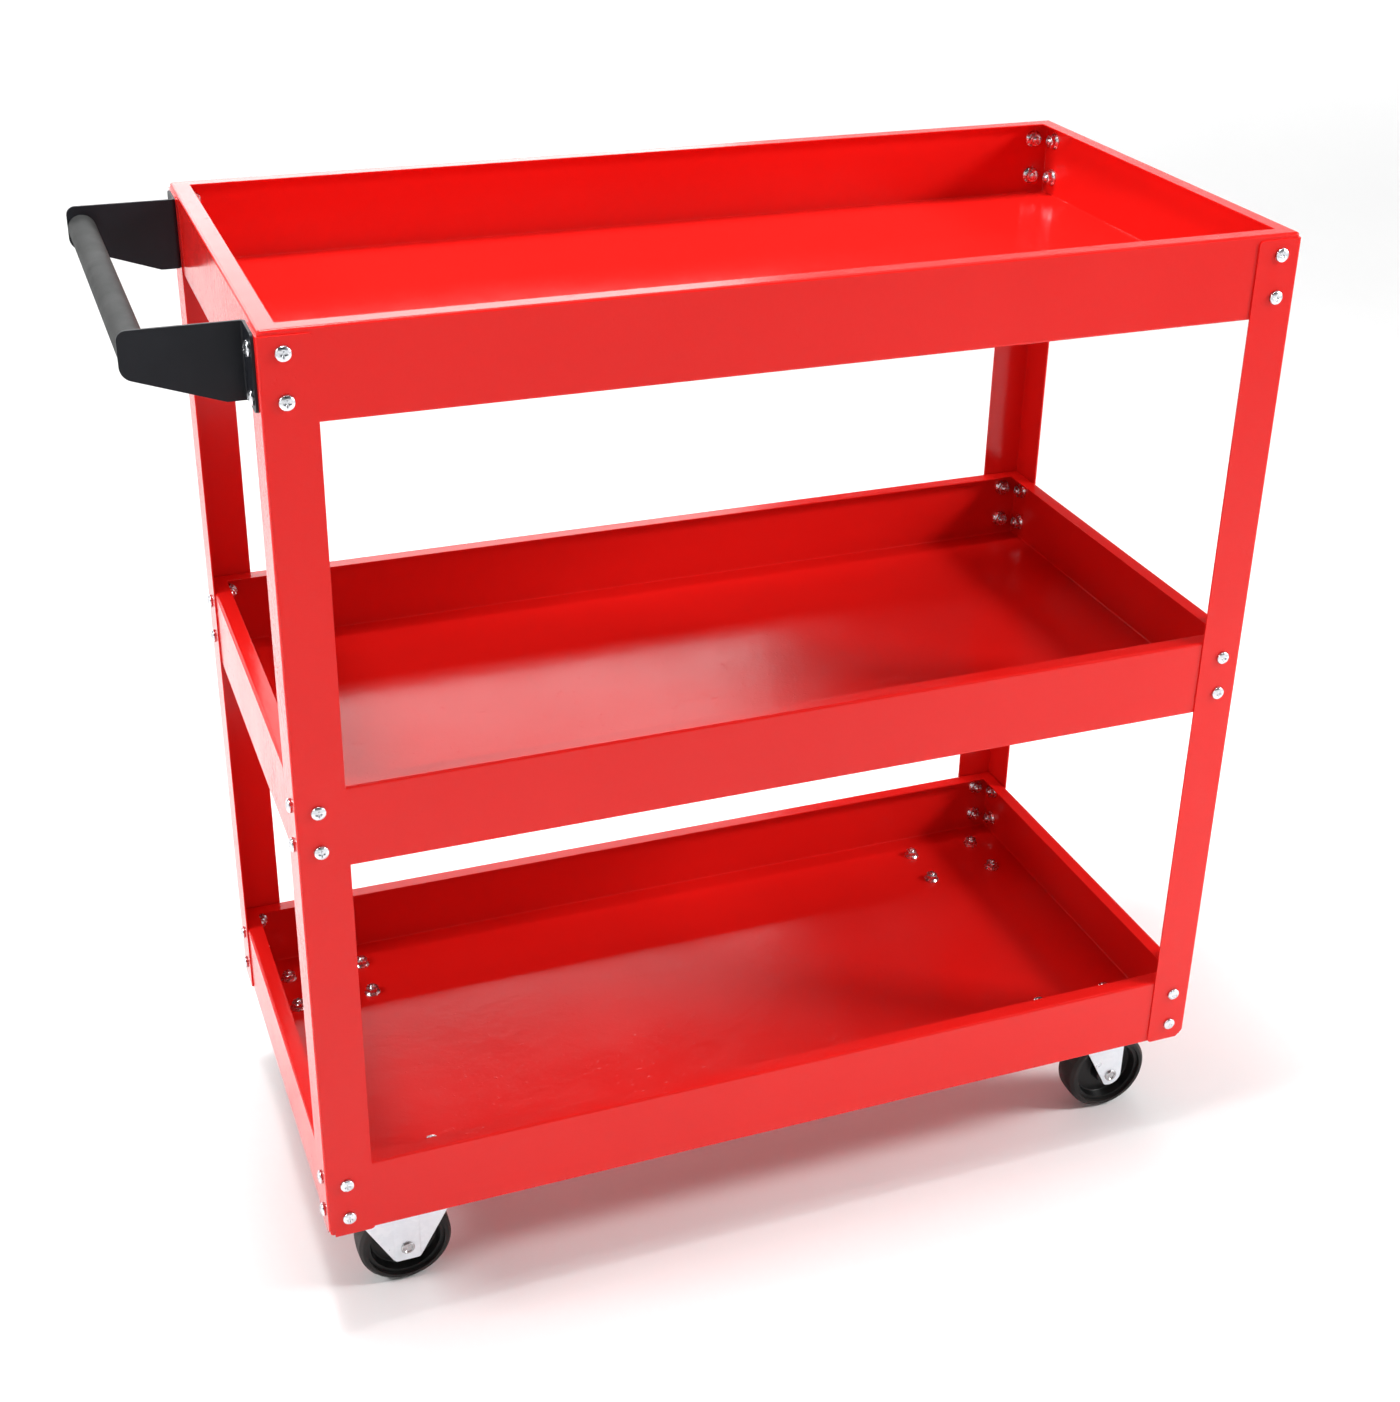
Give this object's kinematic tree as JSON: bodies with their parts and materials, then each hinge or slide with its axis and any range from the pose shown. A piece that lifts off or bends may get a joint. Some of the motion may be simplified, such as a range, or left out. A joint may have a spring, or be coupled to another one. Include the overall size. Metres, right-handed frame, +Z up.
{
  "type": "tool cart",
  "caption": "Open sheet-steel tool cart: stacked tray shelves bolted to corner posts, a push handle at one end, fixed casters under the handle and swivel casters at the far end.",
  "frame": {"origin": "on the floor under the centre of the whole cart's bounding box, push handle included", "axes": "+X along the trays away from the push handle, +Y across the cart from the front side to the rear side, +Z up"},
  "size_m": [0.8341, 0.379, 0.817],
  "materials": {
    "red_powder_coat": "gloss powder coat with fine orange peel",
    "black_powder_coat": "satin powder coat",
    "grip_vinyl": "matte vinyl sleeve",
    "zinc_plate": "bright zinc-plated pressed steel",
    "zinc_fastener": "bright zinc-plated screws and nuts",
    "plain_steel": "plain drawn steel",
    "wheel_plastic": "moulded black plastic, satin gloss",
    "tyre_rubber": "black rubber tread"
  },
  "bodies": {
    "frame": {"bottom_tray": "red_powder_coat", "bottom_tray_nuts": "zinc_fastener", "bottom_tray_screws": "zinc_fastener", "handle_bracket_front": "black_powder_coat", "handle_bracket_rear": "black_powder_coat", "handle_grip": "grip_vinyl", "handle_nuts": "zinc_fastener", "handle_screws": "zinc_fastener", "handle_tube": "plain_steel", "kingpin_front": "zinc_plate", "kingpin_rear": "zinc_plate", "middle_tray": "red_powder_coat", "middle_tray_nuts": "zinc_fastener", "middle_tray_screws": "zinc_fastener", "post_front_left": "red_powder_coat", "post_front_right": "red_powder_coat", "post_rear_left": "red_powder_coat", "post_rear_right": "red_powder_coat", "rigid_axle_front": "zinc_plate", "rigid_axle_rear": "zinc_plate", "rigid_axle_sleeve_front": "plain_steel", "rigid_axle_sleeve_rear": "plain_steel", "rigid_bracket_front": "zinc_plate", "rigid_bracket_rear": "zinc_plate", "rigid_caster_bolts_front": "zinc_fastener", "rigid_caster_bolts_rear": "zinc_fastener", "rigid_caster_nuts_front": "zinc_fastener", "rigid_caster_nuts_rear": "zinc_fastener", "swivel_caster_bolts_front": "zinc_fastener", "swivel_caster_bolts_rear": "zinc_fastener", "swivel_caster_nuts_front": "zinc_fastener", "swivel_caster_nuts_rear": "zinc_fastener", "swivel_plate_front": "zinc_plate", "swivel_plate_rear": "zinc_plate", "top_tray": "red_powder_coat", "top_tray_nuts": "zinc_fastener", "top_tray_screws": "zinc_fastener"},
    "rigid_wheel_front": {"rigid_tyre_front": "tyre_rubber", "rigid_wheel_core_front": "wheel_plastic"},
    "rigid_wheel_rear": {"rigid_tyre_rear": "tyre_rubber", "rigid_wheel_core_rear": "wheel_plastic"},
    "swivel_front": {"swivel_axle_front": "zinc_plate", "swivel_axle_sleeve_front": "plain_steel", "swivel_balls_front": "plain_steel", "swivel_fork_front": "zinc_plate"},
    "swivel_rear": {"swivel_axle_rear": "zinc_plate", "swivel_axle_sleeve_rear": "plain_steel", "swivel_balls_rear": "plain_steel", "swivel_fork_rear": "zinc_plate"},
    "swivel_wheel_front": {"swivel_tyre_front": "tyre_rubber", "swivel_wheel_core_front": "wheel_plastic"},
    "swivel_wheel_rear": {"swivel_tyre_rear": "tyre_rubber", "swivel_wheel_core_rear": "wheel_plastic"}
  },
  "joints": [
    {"name": "rigid_wheel_front_spin", "type": "hinge", "parent": "frame", "child": "rigid_wheel_front", "pos_m": [-0.27255, -0.131, 0.0381], "axis": [0, 1, 0], "continuous": true},
    {"name": "swivel_front_turn", "type": "hinge", "parent": "frame", "child": "swivel_front", "pos_m": [0.34745, -0.131, 0.09], "axis": [0, 0, 1], "continuous": true},
    {"name": "swivel_wheel_front_spin", "type": "hinge", "parent": "swivel_front", "child": "swivel_wheel_front", "pos_m": [0.37145, -0.131, 0.0381], "axis": [0, 1, 0], "continuous": true},
    {"name": "rigid_wheel_rear_spin", "type": "hinge", "parent": "frame", "child": "rigid_wheel_rear", "pos_m": [-0.27255, 0.131, 0.0381], "axis": [0, 1, 0], "continuous": true},
    {"name": "swivel_rear_turn", "type": "hinge", "parent": "frame", "child": "swivel_rear", "pos_m": [0.34745, 0.131, 0.09], "axis": [0, 0, 1], "continuous": true},
    {"name": "swivel_wheel_rear_spin", "type": "hinge", "parent": "swivel_rear", "child": "swivel_wheel_rear", "pos_m": [0.37145, 0.131, 0.0381], "axis": [0, 1, 0], "continuous": true}
  ]
}
